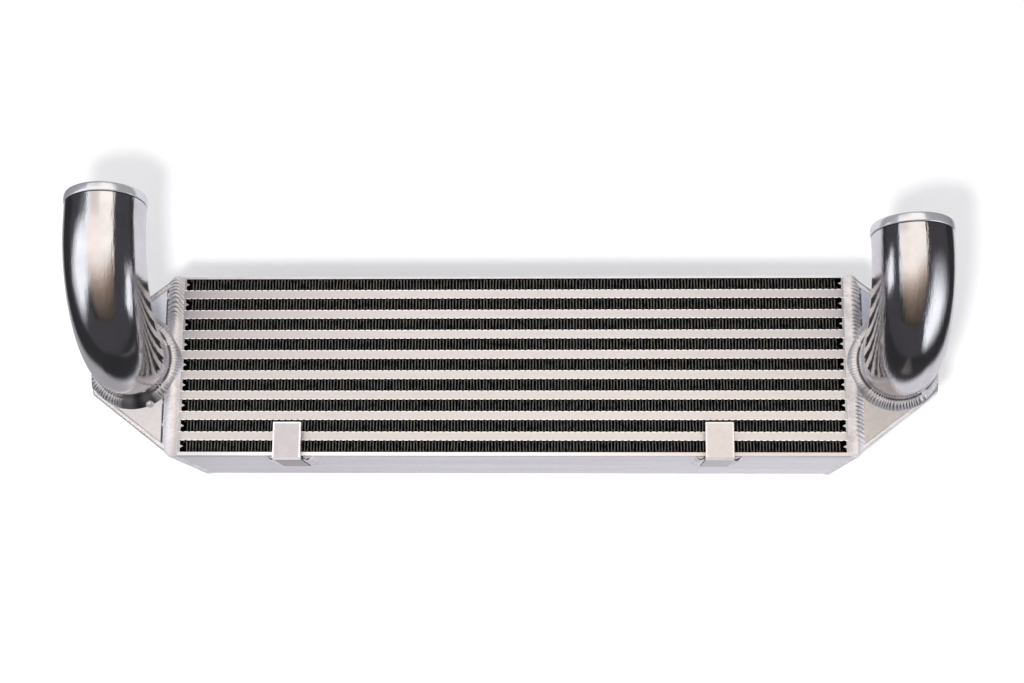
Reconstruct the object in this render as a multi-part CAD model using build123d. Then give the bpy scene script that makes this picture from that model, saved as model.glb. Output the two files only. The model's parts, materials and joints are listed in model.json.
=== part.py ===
from build123d import *
from math import hypot
import os

# A bar-and-plate charge-air cooler of brazed aluminium, with fabricated sheet end tanks and two bent hose elbows.
# Ambient air blows through the folded fin rows from face to face. Charge air runs along the closed passages
# between them, from tank to tank.
#
# Frame, in mm: X runs along the core, Y across the stack of rows, and Z out of the face that the elbows leave.
# The origin is the middle of the core's back face, on which the cooler lies.

# Core
CORE_LENGTH = 520.0
CORE_DEPTH = 133.0
FIN_ROWS = 9
FIN_HEIGHT = 8.7
CHARGE_HEIGHT = 5.8
SHEET = 0.6
TOP_PLATE = 1.5
BOTTOM_PLATE = 2.7

# Bars that close the rows and passages, with a pointed nose on the side of the fins
BAR_WIDTH = 8.0
NOSE_REACH = 2.6
NOSE_SHARE = 0.3

# Folded fin strips
FIN_PITCH = 4.0
FIN_GAUGE = 0.5
FIN_SETBACK = 0.6
TURBULATOR_PITCH = 5.0
TURBULATOR_GAUGE = 0.5
TURBULATOR_SETBACK = 1.0
STRIP_CLEARANCE = 0.2

# End tanks: a folded wrap strip with a front and a back panel set into it
TANK_REACH = 61.0
TANK_NOSE = 45.0
TANK_SHEET = 3.0
TANK_FOLD = 5.0
TANK_BACK_STEP = 1.5

# Hose elbows
ELBOW_OD = 59.0
ELBOW_WALL = 2.0
BEAD_RISE = 0.6
BEAD_WIDTH = 5.5
FOOT_LAND = 1.0
ELBOWS = {
    "left": dict(side=-1, inset=30.6, up=3.4, stub=2.8, radius=76.5, bend=98.0, lean=2.8, run=22.0),
    "right": dict(side=1, inset=31.3, up=2.2, stub=1.0, radius=70.0, bend=96.4, lean=0.4, run=10.0),
}

# Weld beads
SEAM_WIDTH = 9.0
SEAM_RISE = 1.3
EDGE_RISE = 0.6
RING_LEG = 7.6
RING_HEIGHT = 4.2
RING_CROWN = 0.6
RING_OVERHANG = 0.8
CORNER_WIDTH = 4.0
CORNER_RISE = 0.8
CRATER_RADIUS = 3.4
CRATER_OUT = 6.4
CRATER_ANGLE = -66.5
WELD_SLIVER = 1.0

# Mounting brackets under the bottom plate
BRACKET_WIDTH = 21.0
BRACKET_SHEET = 3.5
BRACKET_GAP = 5.5
BRACKET_FOOT = 44.0
TAB_HEIGHT = 28.0
BRACKET_FOLD = 1.5
LEFT_BRACKET_X = -169.0
RIGHT_BRACKET_X = 156.5
BRACKET_WELD_WIDTH = 7.5
BRACKET_WELD_RISE = 2.8
BRACKET_WELD_START = 5.0
BRACKET_WELD_CROWN = 0.6

# Worked out from the sizes above
PASSAGES = FIN_ROWS - 1
ROW_PITCH = FIN_HEIGHT + CHARGE_HEIGHT + 2 * SHEET
CORE_HEIGHT = FIN_ROWS * FIN_HEIGHT + PASSAGES * (CHARGE_HEIGHT + 2 * SHEET) + TOP_PLATE + BOTTOM_PLATE
TOP = CORE_HEIGHT / 2
BOTTOM = -CORE_HEIGHT / 2
CORE_END = CORE_LENGTH / 2
TANK_END = CORE_END + TANK_REACH
ELBOW_RADIUS = ELBOW_OD / 2
BORE_RADIUS = ELBOW_RADIUS - ELBOW_WALL

# A section drawn on this plane has its X along the cooler's Z and its Y along the cooler's Y.
ALONG_CORE = Plane(origin=(0, 0, 0), x_dir=(0, 0, 1), z_dir=(-1, 0, 0))


def fin_middle(row):
    """Height of the middle of an ambient row, counted from 1 at the top."""
    return TOP - TOP_PLATE - FIN_HEIGHT / 2 - (row - 1) * ROW_PITCH


def charge_middle(passage):
    """Height of the middle of a charge passage, which lies under the ambient row of the same number."""
    return fin_middle(passage) - ROW_PITCH / 2


def block(low, high):
    """A box between two opposite corners."""
    size = [b - a for a, b in zip(low, high)]
    return Pos(*low) * Box(*size, align=(Align.MIN, Align.MIN, Align.MIN))


def folded_strip(width, height, pitch, gauge):
    """Section of a folded fin strip, centred: its folds touch both sheets that it is brazed to."""
    walls = round(width / pitch)
    step = width / walls
    fold = gauge * hypot(step, height) / step
    xs = [-width / 2 + i * step for i in range(walls + 1)]
    upper = [(x, height / 2 if i % 2 == 0 else fold - height / 2) for i, x in enumerate(xs)]
    lower = [(x, y - fold) for x, y in upper]
    return make_face(Polyline(*upper, *reversed(lower), close=True))


def ambient_fin(row):
    width = CORE_LENGTH - 2 * (BAR_WIDTH + NOSE_REACH + STRIP_CLEARANCE)
    section = folded_strip(width, FIN_HEIGHT, FIN_PITCH, FIN_GAUGE)
    strip = extrude(section, CORE_DEPTH - 2 * FIN_SETBACK)
    return Pos(0, fin_middle(row), FIN_SETBACK) * strip


def charge_fin(passage):
    width = CORE_DEPTH - 2 * (BAR_WIDTH + NOSE_REACH + STRIP_CLEARANCE)
    section = folded_strip(width, CHARGE_HEIGHT, TURBULATOR_PITCH, TURBULATOR_GAUGE)
    strip = extrude(ALONG_CORE * section, CORE_END - TURBULATOR_SETBACK, both=True)
    return Pos(0, charge_middle(passage), CORE_DEPTH / 2) * strip


def nosed_bar(height):
    """Section of a closing bar: its outer side on X = 0, its nose towards +X."""
    nose = NOSE_SHARE * height / 2
    return make_face(Polyline(
        (0, height / 2), (BAR_WIDTH, height / 2), (BAR_WIDTH, nose), (BAR_WIDTH + NOSE_REACH, 0),
        (BAR_WIDTH, -nose), (BAR_WIDTH, -height / 2), (0, -height / 2), close=True))


def end_bars(side):
    """The short bars that close the ambient rows at one end."""
    bar = extrude(Pos(-CORE_END, 0) * nosed_bar(FIN_HEIGHT), CORE_DEPTH)
    if side > 0:
        bar = mirror(bar, about=Plane.YZ)
    return [Pos(0, fin_middle(row), 0) * bar for row in range(1, FIN_ROWS + 1)]


def rear_bar(passage):
    bar = extrude(ALONG_CORE * nosed_bar(CHARGE_HEIGHT), CORE_END, both=True)
    return Pos(0, charge_middle(passage), 0) * bar


def front_bar(passage):
    return Pos(0, 0, CORE_DEPTH) * mirror(rear_bar(passage), about=Plane.XY)


def parting_sheets(passage):
    """The sheets above and below one charge passage."""
    middle = charge_middle(passage)
    lower_sides = (middle + CHARGE_HEIGHT / 2, middle - CHARGE_HEIGHT / 2 - SHEET)
    return [block((-CORE_END, y, 0), (CORE_END, y + SHEET, CORE_DEPTH)) for y in lower_sides]


def top_plate():
    return block((-CORE_END, TOP - TOP_PLATE, 0), (CORE_END, TOP, CORE_DEPTH))


def bottom_plate():
    return block((-CORE_END, BOTTOM, 0), (CORE_END, BOTTOM + BOTTOM_PLATE, CORE_DEPTH))


def tank_outline(inward, fold):
    """Outline of the right tank, moved inward from its outer side, with its folds rounded."""
    slope = (TOP - TANK_NOSE / 2) / TANK_REACH
    shift = inward * hypot(1, slope)
    end = TANK_END - inward
    corner = TANK_NOSE / 2 + slope * inward - shift
    root = TOP - shift
    outline = make_face(Polyline((CORE_END, root), (end, corner), (end, -corner), (CORE_END, -root), close=True))
    return fillet(outline.vertices().sort_by(Axis.X)[-2:], fold)


def tank_outer():
    return tank_outline(0, TANK_FOLD)


def tank_inner():
    return tank_outline(TANK_SHEET, TANK_FOLD - TANK_SHEET)


def on_side(solid, side):
    """The right-hand form, or its mirror image on the left."""
    return solid if side > 0 else mirror(solid, about=Plane.YZ)


def tank_wrap(side):
    section = tank_outer() - tank_inner()
    return on_side(Pos(0, 0, TANK_BACK_STEP) * extrude(section, CORE_DEPTH - TANK_BACK_STEP), side)


def tank_back(side):
    return on_side(Pos(0, 0, TANK_BACK_STEP) * extrude(tank_inner(), TANK_SHEET), side)


def elbow_foot(name):
    """Centre of an elbow's foot on the tank's front panel."""
    sizes = ELBOWS[name]
    return sizes["side"] * (CORE_END + sizes["inset"]), sizes["up"]


def tank_front(name):
    panel = on_side(Pos(0, 0, CORE_DEPTH - TANK_SHEET) * extrude(tank_inner(), TANK_SHEET), ELBOWS[name]["side"])
    x, y = elbow_foot(name)
    hole = Pos(x, y, CORE_DEPTH) * Cylinder(BORE_RADIUS - FOOT_LAND, 3 * TANK_SHEET)
    return panel - hole


def elbow_stations(name):
    """Planes across an elbow at its foot, at both ends of its bend and at its mouth, and the axis that it bends about.

    Each plane's X points away from that axis.
    """
    sizes = ELBOWS[name]
    out = Vector(0, 0, 1)
    towards = Vector(0, 1, 0).rotate(Axis.Z, -sizes["side"] * sizes["lean"])
    foot = Vector(*elbow_foot(name), CORE_DEPTH)
    start = foot + out * sizes["stub"]
    axis = Axis(start + towards * sizes["radius"], out.cross(towards))
    leaving = out.rotate(axis, sizes["bend"])
    away = -towards.rotate(axis, sizes["bend"])
    end = axis.position + away * sizes["radius"]
    mouth = end + leaving * sizes["run"]
    planes = [Plane(origin=foot, x_dir=-towards, z_dir=out), Plane(origin=start, x_dir=-towards, z_dir=out),
              Plane(origin=end, x_dir=away, z_dir=leaving), Plane(origin=mouth, x_dir=away, z_dir=leaving)]
    return planes, axis


def elbow_solid(name, section):
    """A section carried along an elbow's centre line."""
    (foot, start, end, _), axis = elbow_stations(name)
    sizes = ELBOWS[name]
    bend = revolve(start * section, axis, sizes["bend"])
    return extrude(foot * section, sizes["stub"]) + bend + extrude(end * section, sizes["run"])


def elbow(name):
    """A mandrel-bent tube with a rolled bead round its hose end."""
    mouth = elbow_stations(name)[0][-1]
    swell = (ELBOW_RADIUS + BEAD_RISE, -BEAD_WIDTH / 2)
    section = make_face([
        Line((BORE_RADIUS, 0), (ELBOW_RADIUS, 0)),
        ThreePointArc((ELBOW_RADIUS, 0), swell, (ELBOW_RADIUS, -BEAD_WIDTH)),
        Line((ELBOW_RADIUS, -BEAD_WIDTH), (BORE_RADIUS, -BEAD_WIDTH)),
        Line((BORE_RADIUS, -BEAD_WIDTH), (BORE_RADIUS, 0))])
    bead = revolve(Plane.XZ * section, Axis.Z)
    return elbow_solid(name, Circle(ELBOW_RADIUS) - Circle(BORE_RADIUS)) + mouth * bead


def lens(width, rise):
    """Section of a flat weld bead that lies on the X axis."""
    return make_face([ThreePointArc((-width / 2, 0), (0, rise), (width / 2, 0)), Line((width / 2, 0), (-width / 2, 0))])


def ring_weld(name):
    """The fillet weld round an elbow's foot, flush with the tank's nose."""
    x, y = elbow_foot(name)
    side = ELBOWS[name]["side"]
    inner, outer, crown = ELBOW_RADIUS - ELBOW_WALL / 2, ELBOW_RADIUS + RING_LEG, ELBOW_RADIUS + RING_CROWN
    swell = ((crown + outer) / 2 + 0.08 * RING_LEG, 0.6 * RING_HEIGHT)
    section = make_face([
        Line((inner, 0), (outer, 0)), ThreePointArc((outer, 0), swell, (crown, RING_HEIGHT)),
        Line((crown, RING_HEIGHT), (inner, RING_HEIGHT)), Line((inner, RING_HEIGHT), (inner, 0))])
    ring = Pos(x, y, CORE_DEPTH) * revolve(Plane.XZ * section, Axis.Z)
    limit = TANK_END + RING_OVERHANG
    inside = block((-limit, 2 * BOTTOM, 0), (limit, 2 * TOP, 3 * CORE_DEPTH))
    return (ring & inside) - elbow_solid(name, Circle(ELBOW_RADIUS))


def ring_weld_left():
    """The left ring also has the domed crater where its last pass ended."""
    x, y = elbow_foot("left")
    spoke = Vector(ELBOW_RADIUS + CRATER_OUT, 0, 0).rotate(Axis.Z, CRATER_ANGLE)
    dome = Pos(x + spoke.X, y + spoke.Y, CORE_DEPTH) * Sphere(CRATER_RADIUS)
    above = block((-2 * CORE_END, 2 * BOTTOM, CORE_DEPTH), (0, 2 * TOP, 2 * CORE_DEPTH))
    return ring_weld("left") + (dome & above)


def corner_bead():
    """Section of the seam over the edge between a side plate and the tank's slope, with that edge at the origin."""
    slope = (TOP - TANK_NOSE / 2) / TANK_REACH
    along = Vector(1, -slope).normalized() * (SEAM_WIDTH / 2)
    crown = (Vector(0, 1) + Vector(slope, 1).normalized()).normalized() * EDGE_RISE
    start = (-SEAM_WIDTH / 2, 0)
    return make_face([ThreePointArc(start, crown, along), Line(along, (0, 0)), Line((0, 0), start)])


def front_seam():
    """The seam across the front, ending at the core's sides and the tank's slopes."""
    bead = Pos(CORE_END, 0, CORE_DEPTH) * extrude(Plane.XZ * lens(SEAM_WIDTH, SEAM_RISE), TOP, both=True)
    over_core = block((CORE_END - SEAM_WIDTH, BOTTOM, CORE_DEPTH), (CORE_END, TOP, CORE_DEPTH + 2 * SEAM_RISE))
    over_tank = Pos(0, 0, CORE_DEPTH) * extrude(tank_outer(), 2 * SEAM_RISE)
    return bead & (over_core + over_tank)


def back_fill():
    """Section of the seam that fills the step between the core's back and the tank's back panel."""
    toe = CORE_END + SEAM_WIDTH / 2
    return make_face(Polyline((CORE_END, 0), (toe, TANK_BACK_STEP), (CORE_END, TANK_BACK_STEP), close=True))


def panel_seam():
    """The bead between the right tank's wrap strip and a panel, lying on the XY plane."""
    inset = CORNER_WIDTH / 2
    outline = tank_outline(inset, TANK_FOLD - inset)
    path = Wire(outline.edges().sort_by(Axis.X)[1:])
    section = Plane(origin=path @ 0, x_dir=Vector(0, 0, 1).cross(path % 0), z_dir=path % 0)
    beyond_core = block((CORE_END, BOTTOM, 0), (TANK_END, TOP, CORE_DEPTH))
    return sweep(section * lens(CORNER_WIDTH, CORNER_RISE), path) & beyond_core


def tank_welds(name):
    """The seam between tank and core on all four sides, and the seams of the tank's panels."""
    side = ELBOWS[name]["side"]
    upper = Pos(CORE_END, TOP, 0) * extrude(corner_bead(), CORE_DEPTH + EDGE_RISE)
    lower = mirror(upper, about=Plane.XZ)
    back = extrude(Plane.XZ * back_fill(), TOP, both=True) & extrude(tank_outer(), CORE_DEPTH)
    front_panel = Pos(0, 0, CORE_DEPTH) * panel_seam()
    back_panel = Pos(0, 0, TANK_BACK_STEP) * mirror(panel_seam(), about=Plane.XY)
    seams = front_seam() + upper + lower + back + front_panel + back_panel
    seams = on_side(seams, side) - ring_weld(name) - elbow_solid(name, Circle(ELBOW_RADIUS))
    return [seam for seam in seams.solids() if seam.volume > WELD_SLIVER]


def bracket(middle):
    """An angle: a foot under the bottom plate and a tab that stands up in front of the core."""
    front = CORE_DEPTH + BRACKET_GAP + BRACKET_SHEET
    under = BOTTOM - BRACKET_SHEET
    section = make_face(Polyline(
        (CORE_DEPTH - BRACKET_FOOT, BOTTOM), (front - BRACKET_SHEET, BOTTOM),
        (front - BRACKET_SHEET, under + TAB_HEIGHT), (front, under + TAB_HEIGHT),
        (front, under), (CORE_DEPTH - BRACKET_FOOT, under), close=True))
    angle = extrude(ALONG_CORE * section, BRACKET_WIDTH / 2, both=True)
    angle = fillet(angle.edges().filter_by(Axis.X).group_by(Axis.Z)[-1].sort_by(Axis.Y)[0], BRACKET_FOLD)
    return Pos(middle, 0, 0) * angle


def bracket_weld(middle):
    """The bead round three sides of a bracket's foot."""
    def outline(spread, y):
        back, front = CORE_DEPTH - BRACKET_FOOT - spread, CORE_DEPTH - BRACKET_WELD_START
        plane = Plane(origin=(middle, y, (back + front) / 2), z_dir=(0, -1, 0), x_dir=(1, 0, 0))
        return plane * Rectangle(BRACKET_WIDTH + 2 * spread, front - back)

    bead = loft([outline(BRACKET_WELD_WIDTH, BOTTOM), outline(BRACKET_WELD_CROWN, BOTTOM - BRACKET_WELD_RISE)])
    return bead - bracket(middle)


def build_parts():
    """Every piece of the cooler by the name of its file."""
    parts = {}
    for row in range(1, FIN_ROWS + 1):
        parts[f"ambient_fin_{row}"] = ambient_fin(row)
    for passage in range(1, PASSAGES + 1):
        parts[f"charge_fin_{passage}"] = charge_fin(passage)
        parts[f"front_bar_{passage}"] = front_bar(passage)
        parts[f"rear_bar_{passage}"] = rear_bar(passage)
        parts[f"parting_sheets_{passage}"] = parting_sheets(passage)
    parts["top_plate"] = top_plate()
    parts["bottom_plate"] = bottom_plate()
    for name, sizes in ELBOWS.items():
        side = sizes["side"]
        parts[f"{name}_end_bars"] = end_bars(side)
        parts[f"{name}_tank_wrap"] = tank_wrap(side)
        parts[f"{name}_tank_front"] = tank_front(name)
        parts[f"{name}_tank_back"] = tank_back(side)
        parts[f"{name}_elbow"] = elbow(name)
        parts[f"{name}_tank_welds"] = tank_welds(name)
    parts["left_elbow_weld"] = ring_weld_left()
    parts["right_elbow_weld"] = ring_weld("right")
    parts["left_bracket"] = bracket(LEFT_BRACKET_X)
    parts["right_bracket"] = bracket(RIGHT_BRACKET_X)
    parts["bracket_welds"] = [bracket_weld(LEFT_BRACKET_X), bracket_weld(RIGHT_BRACKET_X)]
    return parts


os.makedirs("parts", exist_ok=True)
for name, shape in build_parts().items():
    solids = shape if isinstance(shape, list) else [shape]
    export_step(Compound(children=solids) if len(solids) > 1 else solids[0], f"parts/{name}.step")
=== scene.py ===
import json
import random
from math import atan2, ceil, cos, degrees, hypot, pi, radians, sin, sqrt

import bmesh
import bpy
from mathutils import Matrix, Vector, noise


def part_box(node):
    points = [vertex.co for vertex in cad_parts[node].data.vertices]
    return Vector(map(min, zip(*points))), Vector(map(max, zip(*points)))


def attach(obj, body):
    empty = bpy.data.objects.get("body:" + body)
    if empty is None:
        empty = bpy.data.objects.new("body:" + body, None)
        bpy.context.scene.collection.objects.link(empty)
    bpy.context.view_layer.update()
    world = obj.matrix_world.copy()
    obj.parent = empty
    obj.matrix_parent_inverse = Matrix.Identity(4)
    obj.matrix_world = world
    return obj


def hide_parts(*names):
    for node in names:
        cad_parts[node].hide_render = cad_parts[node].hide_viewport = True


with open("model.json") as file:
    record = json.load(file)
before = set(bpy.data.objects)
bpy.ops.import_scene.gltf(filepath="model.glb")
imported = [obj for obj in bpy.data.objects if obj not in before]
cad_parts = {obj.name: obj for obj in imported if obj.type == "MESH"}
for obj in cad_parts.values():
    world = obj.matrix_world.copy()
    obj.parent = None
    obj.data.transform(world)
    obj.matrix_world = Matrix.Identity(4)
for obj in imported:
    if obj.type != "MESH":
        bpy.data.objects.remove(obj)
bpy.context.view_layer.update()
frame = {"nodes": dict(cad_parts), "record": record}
NODES = frame["nodes"]
MM = 0.001

# The model's own driving sizes: in metres, but an elbow's are in millimetres and degrees
CORE_END = 260 * MM
CORE_DEPTH = 133 * MM
CORE_TOP = 69.25 * MM
FIN_ROWS = 9
FIN_HEIGHT = 8.7 * MM
ROW_PITCH = 15.7 * MM
TOP_PLATE = 1.5 * MM
BOTTOM_PLATE = 2.7 * MM
BAR_WIDTH = 8 * MM
TANK_REACH = 61 * MM
TANK_NOSE = 45 * MM
TANK_END = CORE_END + TANK_REACH
SLOPE = (CORE_TOP - TANK_NOSE / 2) / TANK_REACH
ELBOW_RADIUS = 29.5 * MM
ELBOW_WALL = 2 * MM
ELBOWS = {
    "left": dict(side=-1, inset=30.6, up=3.4, stub=2.8, radius=76.5, bend=98.0, lean=2.8, run=22.0),
    "right": dict(side=1, inset=31.3, up=2.2, stub=1.0, radius=70.0, bend=96.4, lean=0.4, run=10.0),
}
BRACKETS = {"left": -169 * MM, "right": 156.5 * MM}
BRACKET_WIDTH = 21 * MM
BRACKET_SHEET = 3.5 * MM
BRACKET_FOOT = 44 * MM

# The rolled bead at an elbow's mouth, wider than the solid's, and the crease beside it
BEAD_WIDTH = 7.8 * MM
BEAD_RISE = 0.6 * MM
BEAD_LIP = 0.3 * MM
BEAD_RINGS = 12
CREASE_WIDTH = 0.9 * MM
CREASE_DEPTH = 0.5 * MM
TUBE_SIDES = 120
TUBE_STEPS = 110

# Folded fins, at their true pitch
WALL_PITCH = 2.37 * MM
FIN_GAUGE = 0.7 * MM
FOLD_POINTS = 5

# Weld beads, a little prouder than the plain ones that they cover
SEAM_WIDTH = 12.6 * MM
SEAM_SHIFT = -0.4 * MM
SEAM_RISE = 1.9 * MM
SEAM_RIPPLE = 3.1 * MM
SEAM_DEPTH = {"left": 0.7 * MM, "right": 0.8 * MM}
EDGE_WIDTH = 9.6 * MM
EDGE_RISE = 0.8 * MM
EDGE_DEPTH = 0.35 * MM
RIM_WIDTH = {"left": 5.2 * MM, "right": 3.8 * MM}
RIM_RISE = {"left": 1.1 * MM, "right": 0.5 * MM}
RIM_RIPPLE = 3.4 * MM
RING_LEG = 8.0 * MM
RING_HEIGHT = 4.5 * MM
RING_SWELL = 0.95 * MM
RING_RIPPLE = 2.3 * MM
RING_DEPTH = 0.8 * MM
LUMP_WIDTH = 8.4 * MM
LUMP_RISE = 3.1 * MM
LUMP_RIPPLE = 3.8 * MM
LUMP_DEPTH = 0.8 * MM
BEAD_SKIN = 0.3 * MM

# Rows of faces to a ripple, along a strip and round a ring, and faces across a ring
STRIP_STEPS = 8
RING_STEPS = 7
RING_FACES = 12

# How often a bead's surface swells and trembles, to a metre
SWELLS = 60
TREMBLES = 380

# Edges that turn by more than this stay sharp
SHARP = radians(50)

# How much of a front seam's ripple shows across it: all of it on the left, the tank's side of it on the right
SEAM_TEETH = {"left": None, "right": lambda v: min(1.0, max(0.1, 0.5 - 5 * v))}

# How dull a front seam is on the core's side of it
SEAM_DULL = {"left": 0.07, "right": 0.13}

# Arcs of a ring whose lower flank is darkened as painted shade, in degrees, and how dark they are there
RING_SHADE_ARCS = {"left": [(-106, -54)], "right": [(-146, -132)]}
RING_SHADE_STRENGTH = {"left": 0.95, "right": 0.45}

# Where the ripples of a bead are crisp: along a seam in metres from its middle, and round a ring in degrees
CRISP_SEAM = {"left": [(0.038, 0.070)], "right": [(0.012, 0.062), (-0.054, -0.026)]}
CRISP_RING = {"left": [(-52, -34), (-172, -104)], "right": [(-128, -55)]}


# ---------------------------------------------------------------- shader sums

class Shade:
    """A socket of a material's nodes, so that a pattern can be written as a sum."""

    def __init__(self, tree, socket=None):
        self.tree = tree
        self.socket = socket

    def node(self, kind, inputs=(), output=0, **settings):
        """Adds a node: its settings first, then the values or links of its sockets."""
        made = self.tree.nodes.new("ShaderNode" + kind)
        for name, value in settings.items():
            setattr(made, name, value)
        for key, value in dict(inputs).items():
            if isinstance(value, Shade):
                self.tree.links.new(value.socket, made.inputs[key])
            else:
                made.inputs[key].default_value = value
        return Shade(self.tree, made.outputs[output])

    def maths(self, operation, *values):
        return self.node("Math", dict(enumerate(values)), operation=operation)

    def __add__(self, other):
        return self.maths("ADD", self, other)

    def __radd__(self, other):
        return self.maths("ADD", other, self)

    def __sub__(self, other):
        return self.maths("SUBTRACT", self, other)

    def __rsub__(self, other):
        return self.maths("SUBTRACT", other, self)

    def __mul__(self, other):
        return self.maths("MULTIPLY", self, other)

    def __rmul__(self, other):
        return self.maths("MULTIPLY", other, self)

    def __truediv__(self, other):
        return self.maths("DIVIDE", self, other)

    def __abs__(self):
        return self.maths("ABSOLUTE", self)

    def between(self, low, high):
        """0 where this is at low, 1 where it is at high, and smooth between them."""
        inputs = {0: self, 1: low, 2: high, 3: 0.0, 4: 1.0}
        return self.node("MapRange", inputs, interpolation_type="SMOOTHSTEP")

    def most(self, other):
        return self.maths("MAXIMUM", self, other)

    def mix(self, first, second):
        """first where this is 0 and second where it is 1: two colours."""
        return self.node("Mix", {0: self, 6: first, 7: second}, output=2, data_type="RGBA")

    def place(self):
        """The object's own coordinates, in metres."""
        return self.node("TexCoord", output=3)

    def parts(self):
        """The three numbers of a vector."""
        return [self.node("SeparateXYZ", {0: self}, output=i) for i in range(3)]

    def noise(self, scale, detail, roughness, stretch=(1.0, 1.0, 1.0)):
        where = self.node("Mapping", {"Vector": self.place(), "Scale": stretch})
        inputs = {"Vector": where, "Scale": scale, "Detail": detail, "Roughness": roughness}
        return self.node("TexNoise", inputs)

    def bump(self, height, distance, strength):
        return self.node("Bump", {"Height": height, "Distance": distance, "Strength": strength})


def tone(red, green, blue):
    """A colour given as 0 to 255 screen values, as the linear colour that a shader takes."""
    def linear(value):
        part = value / 255
        return part / 12.92 if part <= 0.04045 else ((part + 0.055) / 1.055) ** 2.4
    return (linear(red), linear(green), linear(blue), 1.0)


BLACK_PAINT = tone(26, 26, 27)


def new_material(name, roughness, metallic, colour=(0.8, 0.8, 0.8, 1.0)):
    """A material with one principled shader, and a Shade to build its patterns with."""
    material = bpy.data.materials.new(name)
    material.use_nodes = True
    shader = material.node_tree.nodes["Principled BSDF"]
    shader.inputs["Base Color"].default_value = colour
    shader.inputs["Roughness"].default_value = roughness
    shader.inputs["Metallic"].default_value = metallic
    return material, shader, Shade(material.node_tree)


def feed(shader, shade, name):
    """Links a worked-out value to one of a shader's sockets."""
    shade.tree.links.new(shade.socket, shader.inputs[name])


# ---------------------------------------------------------------- materials

def brushed(shader, make, streak=(1.0, 1.0, 1.0)):
    """Gives a shader a brushed face's relief, and gives back that face's clouds, fine grain and mottle."""
    clouds = make.noise(28.0, 4.0, 0.6, streak)
    fine = make.noise(900.0, 2.0, 0.7, streak)
    mottle = make.noise(260.0, 3.0, 0.6)
    feed(shader, make.bump(fine * 0.6 + mottle * 0.4, 0.12 * MM, 0.6), "Normal")
    return clouds, fine, mottle


def blotches(clouds, fine, mottle, grain):
    """From 0 to 1 over a brushed face: its clouds, and for a share of it what is finer than they are."""
    finer = (fine * 0.5 + mottle * 0.5).between(0.34, 0.66)
    return clouds.between(0.3, 0.72) * (1 - grain) + finer * grain


def off_row(y):
    """How far below the middle of the nearest ambient row a place is, in rows: from -0.5 to 0.5."""
    row = ((CORE_TOP - TOP_PLATE - FIN_HEIGHT / 2) - y) / ROW_PITCH
    return row - row.maths("ROUND", row)


def painted_inside(x, z):
    """1 on the faces inside the fin rows, which are painted black with the fins."""
    inside = z.between(CORE_DEPTH - 0.1 * MM, CORE_DEPTH - 0.3 * MM) * z.between(0.1 * MM, 0.3 * MM)
    return inside * abs(x).between(CORE_END - BAR_WIDTH + 0.3 * MM, CORE_END - BAR_WIDTH + 0.1 * MM)


def painted_sheets(x, y, z):
    """1 where a sheet is black: inside, and where paint of the fins' crests has run onto its front edge."""
    off = off_row(y)
    wave = x.maths("SINE", x * (pi / WALL_PITCH))
    run = (wave * off.maths("SIGN", off)).most(0.0) * (0.42 * MM) + 0.06 * MM
    beyond = abs(off) * ROW_PITCH - FIN_HEIGHT / 2
    return painted_inside(x, z).most((run - beyond).between(-0.06 * MM, 0.06 * MM))


def painted_plates(x, y, z):
    """1 on the faces that the side plates turn to the fins."""
    low, high = BOTTOM_PLATE - CORE_TOP, CORE_TOP - TOP_PLATE
    facing = y.between(low - 0.02 * MM, low - 0.001 * MM) * y.between(high + 0.02 * MM, high + 0.001 * MM)
    return facing * painted_inside(x, z)


def bar_metal():
    """Brushed bar, greyed by heat beside the seams; painted shade above, painted light below and to the
    right.
    """
    material, shader, make = new_material("bar_satin", 0.4, 0.8)
    x, y, z = make.place().parts()
    clouds, fine, mottle = brushed(shader, make, (0.1, 1.0, 1.0))
    shade = blotches(clouds, fine, mottle, 0.6)
    # Painted light: the lower bars take lighter tones, lighter still to the right, and the upper corners a
    # painted shade.
    high = y.between(-0.045, 0.06)
    right = x.between(-0.24, 0.2)
    corner = abs(x).between(0.06, 0.28) * high * (0.85 - x.between(-0.1, 0.1) * 0.35)
    heated = abs(x).between(CORE_END - 12 * MM, CORE_END - 3 * MM)
    lit_below_dull = right.mix(tone(213, 208, 206), tone(236, 229, 224))
    lit_below_bright = right.mix(tone(224, 219, 217), tone(247, 241, 237))
    colour = shade.mix(tone(212, 209, 211), tone(227, 224, 226))
    colour = ((1 - high) * 0.6).mix(colour, shade.mix(lit_below_dull, lit_below_bright))
    colour = corner.mix(colour, tone(188, 182, 187))
    colour = (heated * 0.8).mix(colour, tone(168, 167, 176))
    black = painted_inside(x, z)
    feed(shader, black.mix(colour, BLACK_PAINT), "Base Color")
    feed(shader, 0.8 * (1 - black), "Metallic")
    feed(shader, 0.34 + clouds * 0.12 + (mottle - 0.5) * 0.08, "Roughness")
    return material


def satin_aluminium(name, pale, dark, roughness, grain, metallic, painted=None):
    """Rolled aluminium: a fine grain and broad cloudy patches. painted(x, y, z) is 1 where it is black."""
    material, shader, make = new_material(name, roughness, metallic, pale)
    clouds, fine, mottle = brushed(shader, make)
    colour = blotches(clouds, fine, mottle, grain).mix(dark, pale)
    if painted:
        black = painted(*make.place().parts())
        colour = black.mix(colour, BLACK_PAINT)
        feed(shader, metallic * (1 - black), "Metallic")
    feed(shader, colour, "Base Color")
    feed(shader, roughness - 0.06 + clouds * 0.12 + (mottle - 0.5) * 0.075, "Roughness")
    return material


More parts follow.
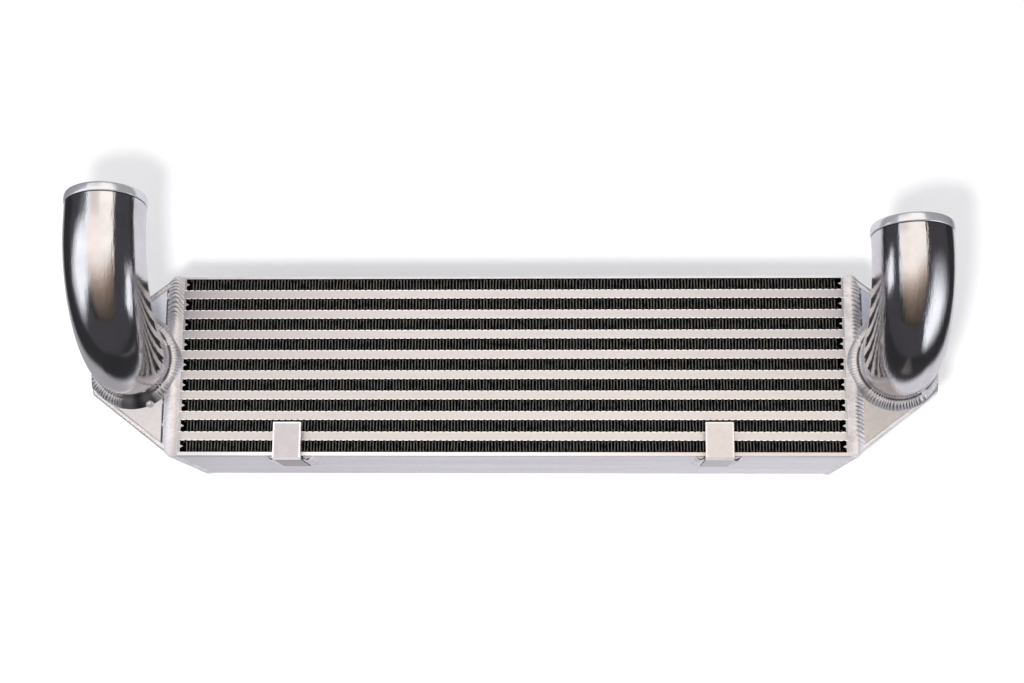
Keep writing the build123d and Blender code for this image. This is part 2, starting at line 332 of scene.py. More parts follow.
def side_plate_metal():
    """Rolled plate: a satin face, a front edge painted bright as a highlight, and a strip behind it in
    painted shade.
    """
    material, shader, make = new_material("side_plate_satin", 0.42, 0.75)
    x, y, z = make.place().parts()
    clouds, fine, mottle = brushed(shader, make, (0.15, 1.0, 1.0))
    # Painted light: a highlight on the front edge, shade on the strip behind it, darker to the left and
    # lighter to the right.
    lower = y.between(0.01, -0.01)
    front = z.between(CORE_DEPTH - 0.5 * MM, CORE_DEPTH - 0.1 * MM) * lower
    strip = z.between(CORE_DEPTH - 12 * MM, CORE_DEPTH - 6 * MM) * lower
    face = (clouds * 0.4 + fine * 0.3 + mottle * 0.3).between(0.38, 0.62)
    face = face.mix(tone(221, 218, 223), tone(241, 239, 244))
    face = (x.between(-0.08, -0.2) * 0.14).mix(face, tone(150, 147, 153))
    face = (x.between(0.05, 0.2) * 0.3).mix(face, tone(252, 250, 254))
    face = (strip * (0.14 + abs(x).between(0.17, 0.25) * 0.3)).mix(face, tone(70, 66, 70))
    bright = x.between(-0.25, -0.17).mix(tone(218, 215, 221), tone(244, 242, 244))
    bright = x.between(-0.05, 0.2).mix(bright, tone(222, 210, 203))
    black = painted_plates(x, y, z)
    feed(shader, black.mix(front.mix(face, bright), BLACK_PAINT), "Base Color")
    feed(shader, (0.75 - front * 0.3) * (1 - black), "Metallic")
    feed(shader, 0.4 + (mottle - 0.5) * 0.1, "Roughness")
    return material


def undercut(make, x, y, z):
    """1 along the undercut between the front seam and a tank's panel, uneven along its length, for painted
    shade.
    """
    wobble = make.noise(160.0, 2.0, 0.5)
    across = abs(x) - CORE_END - SEAM_SHIFT - SEAM_WIDTH / 2
    line = across.between(1.5 * MM, 0.8 * MM) * wobble.between(0.2, 0.4)
    above = y.between(0.004, 0.016).most(x.between(0.01, -0.01))
    return line * above * z.between(CORE_DEPTH - 0.5 * MM, CORE_DEPTH - 0.3 * MM)


def tank_metal():
    """Satin sheet with painted reflection, cooler towards the upper edge, and painted shade in the undercut
    by the front seam.
    """
    material, shader, make = new_material("tank_satin", 0.42, 0.65)
    x, y, z = make.place().parts()
    clouds, fine, mottle = brushed(shader, make)
    # Painted reflection: the upper part is cooler and bluer, and the left tank lighter than the right.
    high = y.between(-0.05, 0.055)
    right = x.between(-0.1, 0.1)
    pale = right.mix(high.mix(tone(226, 223, 225), tone(250, 251, 255)),
                     high.mix(tone(213, 205, 202), tone(212, 215, 229)))
    dull = right.mix(high.mix(tone(208, 205, 207), tone(234, 237, 250)),
                     high.mix(tone(194, 187, 184), tone(192, 195, 208)))
    colour = blotches(clouds, fine, mottle, 0.65).mix(dull, pale)
    # Painted shade: the undercut beside the front seam is coloured dark.
    dark = undercut(make, x, y, z)
    feed(shader, dark.mix(colour, tone(62, 60, 66)), "Base Color")
    feed(shader, 0.65 * (1 - dark), "Metallic")
    feed(shader, 0.36 + clouds * 0.12 + (mottle - 0.5) * 0.08, "Roughness")
    return material


def fin_paint():
    """Thin black paint on thin strip, rubbed to brown-grey metal on the front edges."""
    material, shader, make = new_material("fin_black", 0.5, 0.0, tone(34, 33, 32))
    y, z = make.place().parts()[1:]
    patches = make.noise(220.0, 3.0, 0.6)
    from_middle = abs(off_row(y)) * ROW_PITCH
    wall = from_middle.between(FIN_HEIGHT / 2 - 0.3 * MM, FIN_HEIGHT / 2 - 1.3 * MM)
    rubbed = z.between(CORE_DEPTH - 2.0 * MM, CORE_DEPTH - 0.5 * MM) * patches.between(0.25, 0.6) * wall
    hue = make.noise(90.0, 2.0, 0.5).between(0.35, 0.65)
    metal = hue.mix(tone(100, 94, 87), tone(91, 91, 92))
    feed(shader, rubbed.mix(tone(27, 26, 27), metal), "Base Color")
    feed(shader, 0.55 - rubbed * 0.15, "Roughness")
    feed(shader, rubbed * 0.3, "Metallic")
    shader.inputs["Specular IOR Level"].default_value = 0.12
    return material


def polished_tube():
    """Polished tube: faint lines along the bend, small dull spots, and painted shade in the crease at its
    rolled bead.
    """
    material, shader, make = new_material("elbow_polish", 0.16, 1.0, tone(240, 238, 242))
    clouds = make.noise(35.0, 3.0, 0.6)
    lines = make.noise(420.0, 3.0, 0.7, (1.0, 0.12, 0.12))
    spots = make.noise(800.0, 2.0, 0.6)
    rolled = make.node("Attribute", output=2, attribute_name="rolled")
    # Painted shade: the crease below the rolled bead is coloured dark.
    crease_shade = rolled.between(-0.1, -0.7)
    rolled = rolled.most(0.0)
    bare = clouds.between(0.25, 0.75).mix(tone(226, 223, 226), tone(243, 241, 244))
    dull = spots.between(0.62, 0.75)
    feed(shader, crease_shade.mix(rolled.mix(bare, tone(228, 229, 234)), tone(46, 44, 48)), "Base Color")
    feed(shader, 1 - rolled * 0.32 - crease_shade * 0.5, "Metallic")
    feed(shader, 0.07 + clouds * 0.06 + dull * 0.1 + lines * 0.05 + rolled * 0.06, "Roughness")
    feed(shader, make.bump(lines * 1.4 + clouds * 0.9 + spots * 0.2, 0.15 * MM, 0.65), "Normal")
    return material


def weld_metal():
    """Bright weld metal with a soft sheen, with painted shade between its ripples, in gaps and on shaded
    flanks.
    """
    pale = tone(250, 247, 250)
    material, shader, make = new_material("weld_bright", 0.34, 0.78, pale)
    clouds = make.noise(60.0, 3.0, 0.6)
    fine = make.noise(700.0, 3.0, 0.6)
    weld_shade = make.node("Attribute", output=2, attribute_name="weld_shade")
    bare = (clouds * 0.6 + fine * 0.4).between(0.35, 0.65).mix(tone(220, 217, 221), pale)
    feed(shader, weld_shade.mix(bare, tone(44, 44, 52)), "Base Color")
    feed(shader, 0.29 + fine * 0.14 + weld_shade * 0.2, "Roughness")
    feed(shader, make.bump(fine + clouds, 0.1 * MM, 0.5), "Normal")
    return material


# The two brackets are the same part: the right one's lighter, warmer tones are painted light.
BRACKET_LIT_TONES = {
    "left": dict(dark=tone(194, 189, 191), pale=tone(205, 200, 202), under=tone(165, 160, 163), worn=1.0),
    "right": dict(dark=tone(213, 205, 201), pale=tone(222, 214, 210), under=tone(196, 193, 196), worn=0.6),
}


def bracket_metal(side):
    """Sheared strip: a pale grey face whose outline has rubbed bright, with painted shade on its cut sides
    and under its foot.
    """
    name, tones = f"{side}_bracket", BRACKET_LIT_TONES[side]
    material, shader, make = new_material(name, 0.42, 0.5)
    x, y, z = make.place().parts()
    clouds = make.noise(120.0, 4.0, 0.6)
    fine = make.noise(900.0, 2.0, 0.7)
    low, top = [corner.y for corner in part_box(name)]
    across = abs(x - BRACKETS[side])
    face = z.between(CORE_DEPTH + BRACKET_SHEET - 0.6 * MM, CORE_DEPTH + BRACKET_SHEET - 0.1 * MM)
    outline = across.between(BRACKET_WIDTH / 2 - 1.6 * MM, BRACKET_WIDTH / 2 - 0.5 * MM)
    outline = outline.most(y.between(top - 1.6 * MM, top - 0.5 * MM))
    outline = outline.most(y.between(low + 1.4 * MM, low + 0.6 * MM))
    worn = outline * (0.75 + clouds * 0.5) * face * tones["worn"]
    # Painted shade: the foot's underside and the cut sides are coloured darker.
    under = y.between(low + 0.1 * MM, low + 0.03 * MM) * (1 - face)
    cut = across.between(BRACKET_WIDTH / 2 - 0.1 * MM, BRACKET_WIDTH / 2 - 0.03 * MM) * (1 - face)
    colour = (clouds * 0.5 + fine * 0.5).between(0.35, 0.65).mix(tones["dark"], tones["pale"])
    colour = worn.mix(under.mix(colour, tones["under"]), tone(254, 252, 252))
    feed(shader, cut.mix(colour, tone(34, 32, 38)), "Base Color")
    feed(shader, 0.46 - worn * 0.14 + (fine - 0.5) * 0.1, "Roughness")
    feed(shader, make.bump(fine, 0.1 * MM, 0.4), "Normal")
    return material


def make_materials():
    """A material for each slot, by the slot's name, and one for each bracket, by the node's name."""
    made = {
        "fin": fin_paint(),
        "turbulator": satin_aluminium("turbulator_mill", tone(215, 214, 216), tone(190, 190, 193), 0.4, 0.5,
                                      0.8),
        "bar": bar_metal(),
        "sheet": satin_aluminium("sheet_edge", tone(255, 254, 254), tone(248, 246, 246), 0.36, 0.4, 0.4,
                                 painted_sheets),
        "side_plate": side_plate_metal(),
        "tank": tank_metal(),
        "elbow": polished_tube(),
        "weld": weld_metal(),
    }
    for side in BRACKETS:
        made[f"{side}_bracket"] = bracket_metal(side)
    return made


# ---------------------------------------------------------------- pieces

def finish_piece(name, mesh, material, slot, *replaced):
    """Turns a finished bmesh into a piece that rides on the cooler."""
    data = bpy.data.meshes.new(name)
    bmesh.ops.recalc_face_normals(mesh, faces=mesh.faces)
    for face in mesh.faces:
        face.smooth = True
    for edge in mesh.edges:
        edge.smooth = edge.calc_face_angle(0.0) < SHARP
    mesh.to_mesh(data)
    mesh.free()
    piece = bpy.data.objects.new(name, data)
    bpy.context.scene.collection.objects.link(piece)
    data.materials.append(material)
    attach(piece, "root")
    if replaced:
        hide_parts(*replaced)
    return piece


def clamp(value):
    """The value, kept from 0 to 1."""
    return min(1.0, max(0.0, value))


def only(kind, items):
    """The items that are of one kind, such as vertices."""
    return [item for item in items if isinstance(item, kind)]


def look_forward(mesh):
    """Turns the faces of an open sheet so that the one furthest forward looks forward."""
    bmesh.ops.recalc_face_normals(mesh, faces=mesh.faces)
    if max(mesh.faces, key=lambda face: face.calc_center_median().z).normal.z < 0:
        bmesh.ops.reverse_faces(mesh, faces=mesh.faces)


def one_fold(radius, height):
    """The line of one whole fold: up a wall, over a round crest, down a wall and through a round root."""
    straight = height / 2 - radius
    line = []
    for sign, middle in ((1, radius), (-1, 3 * radius)):
        for i in range(FOLD_POINTS + 1):
            angle = pi - pi * i / FOLD_POINTS
            line.append((middle + radius * cos(angle), sign * (straight + radius * sin(angle))))
    return line


def fin_strip(row):
    """One ambient row: the folded strip, slightly uneven from fold to fold."""
    low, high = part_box(f"ambient_fin_{row}")
    length = high.x - low.x
    folds = round(length / (2 * WALL_PITCH))
    step = length / folds
    middle = (low.y + high.y) / 2
    line = one_fold(step / 4, high.y - low.y - FIN_GAUGE)
    mesh = bmesh.new()
    first = [mesh.verts.new((low.x + x, middle + y, low.z)) for x, y in line]
    edges = [mesh.edges.new(pair) for pair in zip(first, first[1:])]
    for fold in range(1, folds):
        copy = bmesh.ops.duplicate(mesh, geom=first + edges)["geom"]
        bmesh.ops.translate(mesh, vec=(fold * step, 0, 0), verts=only(bmesh.types.BMVert, copy))
    ends = sorted((v for v in mesh.verts if len(v.link_edges) == 1), key=lambda v: v.co.x)
    for before, after in zip(ends[1:-1:2], ends[2:-1:2]):
        mesh.edges.new((before, after))
    for vertex in mesh.verts:
        up = vertex.co.y - middle
        place = Vector((vertex.co.x * 160, row * 7.3, 0.0))
        bow = noise.noise(place) * 0.55 * MM + noise.noise(place * 3.1) * 0.35 * MM
        lean = noise.noise(place * 1.7) * 0.09
        vertex.co.x += bow * cos(up / (high.y - middle) * pi / 2) + lean * up
    depth = bmesh.ops.extrude_edge_only(mesh, edges=mesh.edges[:])["geom"]
    bmesh.ops.translate(mesh, vec=(0, 0, high.z - low.z), verts=only(bmesh.types.BMVert, depth))
    bmesh.ops.recalc_face_normals(mesh, faces=mesh.faces)
    mesh.normal_update()
    halves = [vertex.normal * FIN_GAUGE / 2 for vertex in mesh.verts]
    for vertex, half in zip(mesh.verts, halves):
        vertex.co += half
    bmesh.ops.solidify(mesh, geom=mesh.faces[:], thickness=FIN_GAUGE)
    for vertex in mesh.verts:
        vertex.co.y = max(low.y, min(high.y, vertex.co.y))
        vertex.co.x = max(low.x, min(high.x, vertex.co.x))
    finish_piece(f"fin_strip_{row}", mesh, MATERIALS["fin"], "fin", f"ambient_fin_{row}")


def elbow_frame(name):
    """Where an elbow starts, the direction that it bends towards, and where and about what it bends."""
    sizes = ELBOWS[name]
    foot = Vector((sizes["side"] * (CORE_END + sizes["inset"] * MM), sizes["up"] * MM, CORE_DEPTH))
    lean = radians(-sizes["side"] * sizes["lean"])
    towards = Vector((-sin(lean), cos(lean), 0))
    centre = foot + Vector((0, 0, sizes["stub"] * MM)) + towards * sizes["radius"] * MM
    axis = Vector((0, 0, 1)).cross(towards)
    return foot, towards, centre, axis


def grow_ring(mesh, edges, move, centre=None, scale=1.0, along=None):
    """Extrudes an open ring of edges, moves the new ring and scales it about a centre, across a direction."""
    made = bmesh.ops.extrude_edge_only(mesh, edges=edges)["geom"]
    verts = only(bmesh.types.BMVert, made)
    bmesh.ops.translate(mesh, vec=move, verts=verts)
    if scale != 1.0:
        for vertex in verts:
            offset = vertex.co - centre
            axial = along * offset.dot(along)
            vertex.co = centre + axial + (offset - axial) * scale
    return only(bmesh.types.BMEdge, made)


def elbow_tube(name):
    """The bent tube with the rolled bead near its mouth, and its wall."""
    sizes = ELBOWS[name]
    foot, towards, centre, axis = elbow_frame(name)
    bend = radians(sizes["bend"])
    mesh = bmesh.new()
    bmesh.ops.create_circle(mesh, segments=TUBE_SIDES, radius=ELBOW_RADIUS, matrix=Matrix.Translation(foot))
    edges = grow_ring(mesh, mesh.edges[:], Vector((0, 0, sizes["stub"] * MM)))
    spun = bmesh.ops.spin(mesh, geom=edges, cent=centre, axis=axis, angle=bend, steps=TUBE_STEPS)
    edges = only(bmesh.types.BMEdge, spun["geom_last"])
    turn = Matrix.Rotation(bend, 3, axis)
    leaving = turn @ Vector((0, 0, 1))
    plain = sizes["run"] * MM - BEAD_WIDTH
    edges = grow_ring(mesh, edges, leaving * plain)
    middle = centre + turn @ (-towards * sizes["radius"] * MM) + leaving * plain
    start, length = CREASE_WIDTH, BEAD_WIDTH - CREASE_WIDTH - BEAD_LIP
    rings = [(start * 0.25, -CREASE_DEPTH), (start * 0.8, -CREASE_DEPTH)]
    for i in range(BEAD_RINGS + 1):
        share = i / BEAD_RINGS
        rings.append((start + length * share, BEAD_RISE * sqrt(1 - (2 * share - 1) ** 2)))
    rings.append((BEAD_WIDTH, -BEAD_LIP))
    radius, reached = ELBOW_RADIUS, 0.0
    for place, rise in rings:
        scale = (ELBOW_RADIUS + rise) / radius
        edges = grow_ring(mesh, edges, leaving * (place - reached), middle + leaving * place, scale, leaving)
        radius, reached = ELBOW_RADIUS + rise, place
    rolled = mesh.verts.layers.float.new("rolled")
    for vertex in mesh.verts:
        place = (vertex.co - middle).dot(leaving)
        vertex[rolled] = 1.0 if place > CREASE_WIDTH * 0.9 else (-1.0 if place > CREASE_WIDTH * 0.1 else 0.0)
    look_forward(mesh)
    bmesh.ops.solidify(mesh, geom=mesh.faces[:], thickness=ELBOW_WALL)
    finish_piece(f"{name}_elbow_tube", mesh, MATERIALS["elbow"], "elbow", f"{name}_elbow")


def ripple(phase):
    """Height, from 0 to 1, over the coins of a weld laid one on another: round crests, narrow valleys."""
    return abs(sin(pi * phase)) ** 0.7


def crispness(place, stretches, fade, plain):
    """1 inside any of the stretches where a bead's ripples are crisp, and plain well away from them."""
    inside = max(min(place - low, high - place) for low, high in stretches)
    return plain + (1 - plain) * clamp(inside / fade + 0.5)


def bead_strip(name, path, section, pitch, depth, seed, across=14, bow=0.9, apex=0.0, crisp=None, teeth=None,
               shade=None):
    """A rippled weld bead along a path.

    path(s) gives a place, the way along and the way out, for s from 0 to its length, which path(None) gives.
    section(v, slow) gives how far aside and how high its plain surface is, for v from -0.5 to 0.5 across it.
    crisp(s) and teeth(v) say how much of the ripple shows along it and across it, from 0 to 1.
    shade(s, v, quick) says how dark the bead is for a gap or a shadow there, from 0 to 1.
    """
    length = path(None)
    mesh = bmesh.new()
    rows = ceil(length / (pitch / STRIP_STEPS))
    bmesh.ops.create_grid(mesh, x_segments=across, y_segments=rows, size=0.5)
    weld_shade = mesh.verts.layers.float.new("weld_shade")
    wander = random.Random(seed).random() * 50
    for vertex in mesh.verts:
        v = vertex.co.x
        s = (vertex.co.y + 0.5) * length
        place, along, out = path(s)
        slow = noise.noise(Vector((s * SWELLS, wander, 0.0)))
        quick = noise.noise(Vector((s * TREMBLES, wander, v * 3)))
        lift = 1 - (2 * v) ** 2
        wave = ripple(s / pitch + bow * 4 * (v - apex) ** 2 + slow * 1.2 + wander)
        strength = (crisp(s) if crisp else 0.7) * (teeth(v) if teeth else 1.0)
        aside, height = section(v, slow)
        height += depth * min(1.0, 3 * lift) * strength * (wave - 0.7 + 0.25 * quick)
        height -= 0.1 * MM * (1 - min(1.0, 4 * lift))
        vertex.co = place + out.cross(along) * aside + out * height
        # Painted shade: the valleys between ripples are coloured dark.
        dark = strength * max(0.0, 1 - wave * 1.5) * min(1.0, 4 * lift)
        vertex[weld_shade] = max(0.0, dark, shade(s, v, quick)) if shade else dark
    bmesh.ops.recalc_face_normals(mesh, faces=mesh.faces)
    face = mesh.faces[:][len(mesh.faces) // 2]
    if face.normal.dot(path(length / 2)[2]) < 0:
        bmesh.ops.reverse_faces(mesh, faces=mesh.faces)
    bmesh.ops.solidify(mesh, geom=mesh.faces[:], thickness=BEAD_SKIN)
    return finish_piece(name, mesh, MATERIALS["weld"], "weld")


def straight_path(start, end, out):
    """A straight path for a bead, whose way out is the same all along it."""
    length = (end - start).length
    along = (end - start).normalized()

    def path(s):
        return length if s is None else (start + along * s, along, out)
    return path


def flat_bead(width, rise):
    """Section of a bead that lies on one flat face."""
    def section(v, slow):
        return v * width * (1 + 0.08 * slow), rise * (1 - (2 * v) ** 2) ** 1.5 * (1 + 0.15 * slow)
    return section


def folded_bead(width, rise, fold):
    """Section of a bead over an edge whose faces turn by an angle, seen along the middle of that turn."""
    def section(v, slow):
        return v * width * cos(fold / 2), rise * (1 - (2 * v) ** 2) - abs(v) * width * sin(fold / 2)
    return section


def lumpy_bead(v, slow):
    """Section of a bead at a bracket's foot, which swells and shrinks along its length."""
    share = 1 - (2 * v) ** 2
    return v * LUMP_WIDTH * (1 + 0.3 * slow), LUMP_RISE * share * (1 + 0.35 * slow) - 0.4 * MM


def seam_beads(name):
    """The seam between a tank and the core: across the front, and down the depth over both edges."""
    side = ELBOWS[name]["side"]
    x, top = side * (CORE_END + SEAM_SHIFT), CORE_TOP - 0.2 * MM
    front = straight_path(Vector((x, -top, CORE_DEPTH)), Vector((x, top, CORE_DEPTH)), Vector((0, 0, 1)))

    def crisp(s):
        return crispness(s - CORE_TOP, CRISP_SEAM[name], 0.012, 0.12)

    def dull(s, v, quick):
        return SEAM_DULL[name] * clamp(0.5 + 4 * v * side) * (1 + quick)
    seam = bead_strip(f"{name}_front_seam", front, flat_bead(SEAM_WIDTH, SEAM_RISE), SEAM_RIPPLE,
                      SEAM_DEPTH[name], side + 2, bow=1.3, apex=-0.1 * side, crisp=crisp,
                      teeth=SEAM_TEETH[name], shade=dull)
    for vertex in seam.data.vertices:
        limit = CORE_TOP - SLOPE * max(0.0, abs(vertex.co.x) - CORE_END)
        vertex.co.y = max(-limit, min(limit, vertex.co.y))
    turn = atan2(SLOPE, 1.0)
    for edge in (-1, 1):
        corner = Vector((side * CORE_END, edge * CORE_TOP, 0.5 * MM))
        out = Vector((side * sin(turn / 2), edge * cos(turn / 2), 0))
        path = straight_path(corner, corner + Vector((0, 0, CORE_DEPTH)), out)
        bead_strip(f"{name}_{'upper' if edge > 0 else 'lower'}_seam", path,
                   folded_bead(EDGE_WIDTH, EDGE_RISE, turn), SEAM_RIPPLE, EDGE_DEPTH, side + 5 * edge + 20)


def rim_edge_shade(s, v, quick):
    """Painted shade: the broken dark line along the outer edge of the left tank's lower rim."""
    return clamp((v - 0.08) / 0.06) * clamp(0.8 + 2 * quick)


def rim_beads(name):
    """The bead over the front rim of a tank, between its wrap strip and front panel, above and below."""
    side = ELBOWS[name]["side"]
    root = Vector((CORE_END + SEAM_WIDTH / 2, CORE_TOP - SLOPE * SEAM_WIDTH / 2))
    nose = Vector((TANK_END - 1.2 * MM, TANK_NOSE / 2 + 0.8 * MM))
    for edge in (-1, 1):
        away = Vector((side * SLOPE, edge, 0)).normalized()
        start = Vector((side * root.x, edge * root.y, CORE_DEPTH)) - away * 1.5 * MM
        end = Vector((side * nose.x, edge * nose.y, CORE_DEPTH)) - away * 1.5 * MM
        out = (away * 0.55 + Vector((0, 0, 1))).normalized()
        shade = rim_edge_shade if name == "left" and edge < 0 else None
        section = folded_bead(RIM_WIDTH[name], RIM_RISE[name], radians(66))
        bead_strip(f"{name}_{'upper' if edge > 0 else 'lower'}_rim", straight_path(start, end, out), section,
                   RIM_RIPPLE, 0.45 * RIM_RISE[name], side * 3 + edge + 40, across=12, shade=shade)


def bracket_beads(name):
    """Lumpy beads along both sides of a bracket's foot."""
    middle = BRACKETS[name]
    back, front = CORE_DEPTH - BRACKET_FOOT, CORE_DEPTH - 3.5 * MM
    for edge in (-1, 1):
        x = middle + edge * (BRACKET_WIDTH / 2 + 0.42 * LUMP_WIDTH)
        out = Vector((edge * 0.35, -1, 0)).normalized()
        path = straight_path(Vector((x, -CORE_TOP, back)), Vector((x, -CORE_TOP, front)), out)

        # Painted shadow: dark in the gaps beside the tab's front end, and a broken dark line along each
        # bead's outer edge.
        def gap(s, v, quick, edge=edge):
            front_end = clamp((s - (front - back) + 5 * MM) / MM)
            inner = clamp((v * edge + 0.02) / 0.06)
            outer = clamp((-v * edge - 0.38) / 0.04) * clamp(0.6 + 2 * quick)
            return max(front_end * inner, outer)
        bead_strip(f"{name}_bracket_bead_{'right' if edge > 0 else 'left'}", path, lumpy_bead, LUMP_RIPPLE,
                   LUMP_DEPTH, edge + middle * 1000, across=12, shade=gap)


def ring_bead(name):
    """The fillet weld round an elbow's foot, with its ripples, cut off at the tank's nose."""
    side = ELBOWS[name]["side"]
    foot = elbow_frame(name)[0]
    mesh = bmesh.new()
    weld_shade = mesh.verts.layers.float.new("weld_shade")
    inner, outer = ELBOW_RADIUS - 0.3 * MM, ELBOW_RADIUS + RING_LEG
    points = []
    for i in range(RING_FACES + 1):
        share = i / RING_FACES
        swell = RING_SWELL * sin(pi * share)
        radius = outer + (inner - outer) * share ** 0.9 + swell
        height = -0.1 * MM + RING_HEIGHT * share ** 1.1 + swell
        points.append(mesh.verts.new(foot + Vector((radius, 0, height))))
    line = [mesh.edges.new(pair) for pair in zip(points, points[1:])]
    steps = round(2 * pi * (ELBOW_RADIUS + RING_LEG / 2) / RING_RIPPLE) * RING_STEPS
    bmesh.ops.spin(mesh, geom=points + line, cent=foot, axis=(0, 0, 1), angle=2 * pi, steps=steps,
                   use_merge=True)
    look_forward(mesh)
    mesh.normal_update()
    moves = []
    for vertex in mesh.verts:
        offset = vertex.co - foot
        share = clamp((outer - hypot(offset.x, offset.y)) / RING_LEG)
        angle = atan2(offset.y, offset.x)
        around = angle * (ELBOW_RADIUS + RING_LEG / 2)
        slow = noise.noise(Vector((cos(angle) * 3, sin(angle) * 3, side * 5)))
        wave = ripple(around / RING_RIPPLE + 1.6 * share * (1 - share) + slow * 1.5 + 60)
        strength = crispness(degrees(angle), CRISP_RING[name], 10, 0.22)
        edge = min(1.0, 5 * share, 5 * (1 - share))
        height = RING_DEPTH * strength * (wave - 0.6) * edge + 0.3 * MM * slow * share
        # Painted shade: dark arcs on a ring's lower flank, dark valleys between ripples, and a dark line at
        # its inner edge.
        ring_shade = RING_SHADE_STRENGTH[name] * crispness(degrees(angle), RING_SHADE_ARCS[name], 12, 0.0) * (0.88 + 0.4 * slow)
        inner_edge_shade = 0.85 * clamp((share - 0.8) / 0.12)
        dark = strength * clamp((0.85 - wave) * 3) * edge
        vertex[weld_shade] = min(1.0, max(dark, ring_shade, inner_edge_shade))
        moves.append(vertex.normal * height)
    for vertex, move in zip(mesh.verts, moves):
        vertex.co += move
    bmesh.ops.bisect_plane(mesh, geom=mesh.verts[:] + mesh.edges[:] + mesh.faces[:], dist=1e-6,
                           plane_co=(side * (TANK_END + 0.7 * MM), 0, 0), plane_no=(side, 0, 0),
                           clear_outer=True)
    bmesh.ops.solidify(mesh, geom=mesh.faces[:], thickness=BEAD_SKIN)
    finish_piece(f"{name}_ring_bead", mesh, MATERIALS["weld"], "weld")


# ---------------------------------------------------------------- dressing the model

MATERIALS = make_materials()


def dress_nodes():
    """Gives every carried-over node its finish."""
    slots = {part["node"]: part["material_slot"] for part in frame["record"]["subparts"]}
    for name, node in NODES.items():
        slot = slots[name]
        material = MATERIALS[name] if slot == "bracket" else MATERIALS[slot]
        node.data.materials.clear()
        node.data.materials.append(material)


dress_nodes()
for row_number in range(1, FIN_ROWS + 1):
    fin_strip(row_number)
for side_name in ELBOWS:
    elbow_tube(side_name)
    ring_bead(side_name)
    seam_beads(side_name)
    rim_beads(side_name)
    bracket_beads(side_name)


# ---------------------------------------------------------------- studio

def card(name, across, up, depth, material, upright=False):
    """A studio card between two values across and two up: flat at a height, or upright to one side."""
    (a, b), (c, d) = across, up
    corners = [(a, c), (b, c), (b, d), (a, d)]
    mesh = bmesh.new()
    mesh.faces.new([mesh.verts.new((depth, p, q) if upright else (p, q, depth)) for p, q in corners])
    data = bpy.data.meshes.new(name)
    mesh.to_mesh(data)
    mesh.free()
    made = bpy.data.objects.new(name, data)
    data.materials.append(material)
    bpy.context.scene.collection.objects.link(made)
    return made


def only_reflected(made):
    """Lets a card show in polished metal and nowhere else."""
    made.visible_camera = False
    made.visible_diffuse = False
    made.visible_shadow = False
    made.visible_transmission = False


def glowing(name, paint):
    """A material that only gives light, of the colour and strength that paint(make) works out.

    Where paint gives a third value, the card is see-through where that is 0.
    """
    material = bpy.data.materials.new(name)
    material.use_nodes = True
    tree = material.node_tree
    tree.nodes.clear()
    make = Shade(tree)
    colour, strength, *cover = paint(make)
    glow = make.node("Emission", {"Color": colour, "Strength": strength})
    if cover:
        glow = make.node("MixShader", {0: cover[0], 1: make.node("BsdfTransparent"), 2: glow})
    output = tree.nodes.new("ShaderNodeOutputMaterial")
    tree.links.new(glow.socket, output.inputs["Surface"])
    return material


def overhead_glow(make):
    """Cream, then brown and then dark towards the lower edge, with a grey-blue strip at the far left."""
    x, y = make.place().parts()[:2]
    back = y - x.between(-0.2, 1.0) * 0.45
    lit = back.between(-1.45, 0.15)
    warmth = (x + 0.25 * y).between(-0.9, 0.7)
    cream = warmth.mix((0.97, 0.88, 0.81, 1.0), (1.0, 0.94, 0.87, 1.0))
    colour = lit.between(0.15, 0.85).mix((0.8, 0.62, 0.5, 1.0), cream)
    leftmost = x.between(-1.22, -1.34)
    strength = 0.055 + y.between(-2.9, -2.2) * 0.065 + back.between(-2.4, -1.0) * 0.16 + lit * 0.87
    strength = strength * (1 - leftmost * y.between(-0.6, -1.5) * 0.6)
    strength = strength * (1 - x.between(-0.2, -0.5) * y.between(0.6, 1.5) * 0.45 * (1 - leftmost))
    return leftmost.mix(colour, (0.86, 0.9, 0.97, 1.0)), strength * x.between(-1.95, -1.65)


def side_glow(side):
    """A tall window seen in an elbow's flank: soft along its edges."""
    def paint(make):
        y, z = make.place().parts()[1:]
        low, high = (0.19, 0.62) if side < 0 else (0.15, 0.52)
        near, farther = (-0.18, 0.29) if side < 0 else (-0.44, 0.11)
        up = (z - (y - 0.02).most(0.0) * 0.75).between(low, low + 0.12) * z.between(high, high - 0.2)
        along = y.between(near, near + 0.12) * y.between(farther, farther - 0.19)
        return (0.93, 0.95, 1.0, 1.0), 1.2, up * along
    return paint


def floor_glow(make):
    """The sheet under the part, in polished metal: lavender near by, dark beyond, with two dim panels."""
    x, y = make.place().parts()[:2]
    near = abs(x).between(0.62, 0.5) * y.between(-0.35, -0.22)
    lift = x.between(-0.36, -0.22) * 0.28 + y.between(0.0, 0.1) * 0.06
    wide = x.between(0.2, 0.23) * x.between(0.37, 0.35)
    narrow = x.between(0.375, 0.385) * x.between(0.425, 0.415)
    panels = (wide + narrow * 0.7) * y.between(-0.42, -0.52)
    dark = panels.mix((0.3, 0.3, 0.33, 1.0), (0.95, 0.88, 0.82, 1.0))
    return near.mix(dark, (0.95, 0.93, 0.985, 1.0)), 0.1 + near * (0.34 + lift) + panels * 0.05


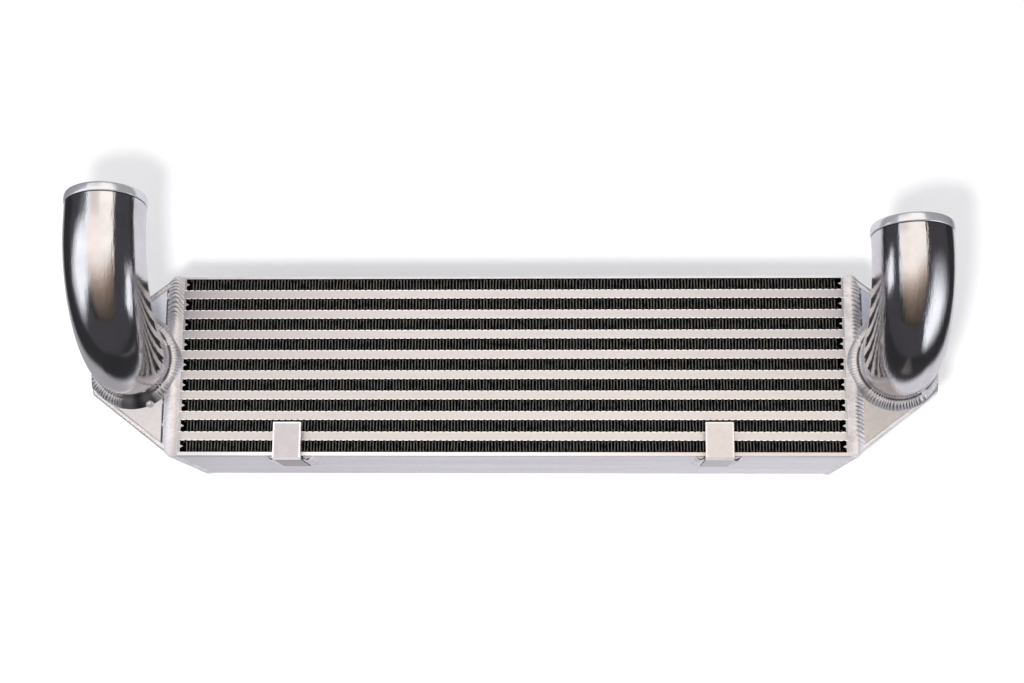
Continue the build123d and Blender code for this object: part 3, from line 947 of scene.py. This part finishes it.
def build_studio():
    """The floor, and the cards that only polished metal shows: overhead, under the part and at both sides."""
    floor_material, shader = new_material("studio_floor", 0.9, 0.0, (0.97, 0.97, 0.972, 1.0))[:2]
    shader.inputs["Specular IOR Level"].default_value = 0.0
    card("studio_floor", (-6, 6), (-6, 6), -0.4 * MM, floor_material)
    overhead = glowing("overhead_glow", overhead_glow)
    only_reflected(card("overhead_card", (-1.95, 1.1), (-2.9, 2.3), 1.9, overhead))
    only_reflected(card("reflected_floor", (-7, 7), (-7, 7), -0.3 * MM, glowing("floor_glow", floor_glow)))
    for side in (-1, 1):
        window = glowing("window_glow", side_glow(side))
        only_reflected(card("window", (-0.46, 0.3), (0.14, 0.66), side * 0.5, window, upright=True))


def build_lights():
    """A white background, a soft grey room that lights the part, a dark one for mirrors, and the key lamp."""
    world = bpy.data.worlds.new("studio_world")
    bpy.context.scene.world = world
    world.use_nodes = True
    tree = world.node_tree
    tree.nodes.clear()
    make = Shade(tree)
    seen = make.node("LightPath", output="Is Camera Ray")
    mirrored = make.node("LightPath", output="Is Glossy Ray")
    room = mirrored.mix((0.86, 0.86, 0.87, 1.0), (0.058, 0.056, 0.062, 1.0))
    colour = seen.mix(room, (1.0, 1.0, 1.0, 1.0))
    glow = make.node("Background", {"Color": colour, "Strength": 1.0})
    output = tree.nodes.new("ShaderNodeOutputWorld")
    tree.links.new(glow.socket, output.inputs["Surface"])

    lamp = bpy.data.lights.new("key", "AREA")
    lamp.shape = "DISK"
    lamp.size = 0.11
    lamp.energy = 8.6
    key = bpy.data.objects.new("key", lamp)
    key.location = (-0.065, -0.33, 1.3)
    key.visible_glossy = False
    bpy.context.scene.collection.objects.link(key)


def build_camera():
    """The camera: above the part and a little beyond its lower edge, tilted back towards it."""
    lens = bpy.data.cameras.new("camera")
    lens.lens = 54.87
    lens.sensor_width = 36.0
    camera = bpy.data.objects.new("camera", lens)
    camera.location = (0.03936, -0.19923, 1.30580)
    camera.rotation_euler = (radians(10.5155), radians(1.8497), radians(0.2724))
    bpy.context.scene.collection.objects.link(camera)
    bpy.context.scene.camera = camera


build_studio()
build_lights()
build_camera()
bpy.context.scene.view_settings.view_transform = "Standard"
